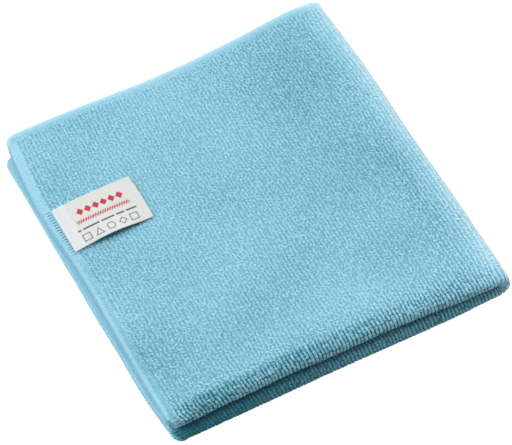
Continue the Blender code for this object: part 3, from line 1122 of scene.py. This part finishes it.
def red_print(a, b):
    """A row of lozenges over a zigzag line."""
    rows = [outside_lozenge(a - at, b - LOZENGE_ROW, *LOZENGE_HALF) for at in LOZENGES]
    wave = ZIGZAG_ROW + ZIGZAG_RISE * (4.0 * np.abs((a / ZIGZAG_PITCH) % 1.0 - 0.5) - 1.0)
    steep = math.hypot(1.0, 4.0 * ZIGZAG_RISE / ZIGZAG_PITCH)
    zigzag = np.abs(b - wave) / steep - STROKE / 2.0
    inside = np.maximum(ZIGZAG_SPAN[0] - a, a - ZIGZAG_SPAN[1])
    return ink(np.minimum.reduce(rows + [np.maximum(zigzag, inside)]))


def dark_print(a, b):
    """A line broken into bars."""
    bars = [
        outside_box(a - (start + end) / 2.0, b - BAR_ROW, (end - start) / 2.0, BAR_HALF)
        for start, end in BARS
    ]
    return ink(np.minimum.reduce(bars))


def grey_print(a, b):
    """A row of plain outlined shapes."""
    outlines = [outside_outline(kind, a - at, b - OUTLINE_ROW) for at, kind in OUTLINES]
    return ink(np.minimum.reduce(outlines))


def doubled(a, b):
    """1 on the doubled end."""
    return soft_step(a - DOUBLED_END / MM, DOUBLED_EDGE)


# The tape's white, how dark and how light its threads vary it, and what lies on it in which colour.
TAPE_WHITE = (0.74, 0.755, 0.73, 1.0)
TAPE_SHADES = (0.90, 1.06)
LABEL_PAINTS = (
    ("doubled_end", doubled, (0.77, 0.80, 0.84, 1.0)),
    ("red_ink", red_print, (0.56, 0.030, 0.055, 1.0)),
    ("dark_ink", dark_print, (0.055, 0.070, 0.080, 1.0)),
    ("grey_ink", grey_print, (0.10, 0.125, 0.125, 1.0)),
)


TAPE_FINISH = {
    "Roughness": 0.55,
    "Specular IOR Level": 0.3,
    "Sheen Weight": 0.15,
    "Sheen Roughness": 0.4,
}
PICK_DEPTH = 0.08 * MM


def tape_material():
    """Woven satin tape: fine ribs across it, the slight gloss of its threads, and the inks."""
    material, nodes, links, shader = new_material("label_weave", TAPE_FINISH)
    place = nodes.new("ShaderNodeTexCoord")
    scale = new_node(nodes, "ShaderNodeMapping", Scale=(LABEL_WIDTH / MM, LABEL_DEPTH / MM, 1.0))
    links.new(place.outputs["UV"], scale.inputs["Vector"])
    picks = new_node(nodes, "ShaderNodeTexWave", Scale=0.75, Distortion=0.6, Detail=1.0)
    picks.bands_direction = "Y"
    links.new(scale.outputs["Vector"], picks.inputs["Vector"])
    slubs = new_node(nodes, "ShaderNodeTexNoise", Scale=1.6, Detail=4.0)
    links.new(scale.outputs["Vector"], slubs.inputs["Vector"])
    shade = nodes.new("ShaderNodeMix")
    shade.data_type = "RGBA"
    for socket, brightness in zip(("A", "B"), TAPE_SHADES):
        shade.inputs[socket].default_value = tuple(brightness * c for c in TAPE_WHITE[:3]) + (1.0,)
    links.new(slubs.outputs["Fac"], shade.inputs["Factor"])
    colour = shade.outputs["Result"]
    for name, _, paint in LABEL_PAINTS:
        mask = nodes.new("ShaderNodeAttribute")
        mask.attribute_name = name
        painted = nodes.new("ShaderNodeMix")
        painted.data_type = "RGBA"
        painted.inputs["B"].default_value = paint
        links.new(mask.outputs["Fac"], painted.inputs["Factor"])
        links.new(colour, painted.inputs["A"])
        colour = painted.outputs["Result"]
    links.new(colour, shader.inputs["Base Color"])
    add_relief(nodes, links, shader, picks.outputs["Fac"], PICK_DEPTH)
    return material


for paint_name, paint_mask, _ in LABEL_PAINTS:
    mask_values = paint_mask(label_flat[:, 0] * LABEL_WIDTH / MM, label_flat[:, 1] * LABEL_DEPTH / MM)
    if paint_name != "doubled_end":
        mask_values[len(label_face[2]):] = 0.0
    set_values(label, paint_name, mask_values)
label.data.materials.append(tape_material())
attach(label, "root")
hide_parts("label")

# The picture.
# A plain pale floor, which throws no light back on the cloth, a camera at the photo's angle, and large
# soft lights: one above, one behind, one at each side, and one from the front for the floor alone.

CAMERA_AZIMUTH = math.radians(-27.5)
CAMERA_ELEVATION = math.radians(56.4)
CAMERA_DISTANCE = 1.1
CAMERA_TARGET = np.array([-1.9, -11.75, 10.0]) * MM - CENTRE
CAMERA_LENS = 145.4
SENSOR_WIDTH = 36.0
FLOOR_SIZE = 6.0

bpy.ops.object.select_all(action="DESELECT")
bpy.ops.mesh.primitive_plane_add(size=FLOOR_SIZE, location=(0.0, 0.0, 0.0))
floor = bpy.context.active_object
floor.name = "floor"
floor_finish = {"Base Color": (0.90, 0.90, 0.90, 1.0), "Roughness": 0.9}
floor.data.materials.append(new_material("floor_paint", floor_finish)[0])
floor.visible_diffuse = False

back_of_view = np.array([
    math.sin(CAMERA_AZIMUTH) * math.cos(CAMERA_ELEVATION),
    -math.cos(CAMERA_AZIMUTH) * math.cos(CAMERA_ELEVATION),
    math.sin(CAMERA_ELEVATION),
])
camera_data = bpy.data.cameras.new("camera")
camera_data.lens = CAMERA_LENS
camera_data.sensor_width = SENSOR_WIDTH
camera = bpy.data.objects.new("camera", camera_data)
camera.location = CAMERA_TARGET + back_of_view * CAMERA_DISTANCE
camera.rotation_euler = (math.pi / 2.0 - CAMERA_ELEVATION, 0.0, CAMERA_AZIMUTH)
bpy.context.scene.collection.objects.link(camera)
bpy.context.scene.camera = camera


def soft_light(name, place, size, power):
    """A square softbox at the place, facing the cloth."""
    lamp_data = bpy.data.lights.new(name, "AREA")
    lamp_data.size = size
    lamp_data.energy = power
    lamp = bpy.data.objects.new(name, lamp_data)
    lamp.location = place
    direction = -np.array(place)
    turn = math.atan2(direction[1], direction[0])
    lean = math.acos(-direction[2] / np.linalg.norm(direction))
    lamp.rotation_euler = (0.0, -lean, turn)
    bpy.context.scene.collection.objects.link(lamp)
    return lamp


soft_light("above", (-0.2, 0.9, 3.2), 3.0, 15.0)
soft_light("key", (0.2, 3.0, 2.1), 2.4, 40.0)
soft_light("right side", (3.0, 1.2, 1.3), 2.0, 70.0)
soft_light("left side", (-3.0, 1.0, 1.4), 2.0, 62.0)
floor_fill = soft_light("floor fill", (-0.6, -2.2, 2.4), 3.0, 180.0)
lit_by_fill = bpy.data.collections.new("lit_by_fill")
lit_by_fill.objects.link(floor)
floor_fill.light_linking.receiver_collection = lit_by_fill
world = bpy.data.worlds.new("studio")
world.use_nodes = True
world.node_tree.nodes["Background"].inputs["Color"].default_value = (1.0, 1.0, 1.0, 1.0)
world.node_tree.nodes["Background"].inputs["Strength"].default_value = 0.40
bpy.context.scene.world = world
bpy.context.scene.view_settings.view_transform = "Standard"
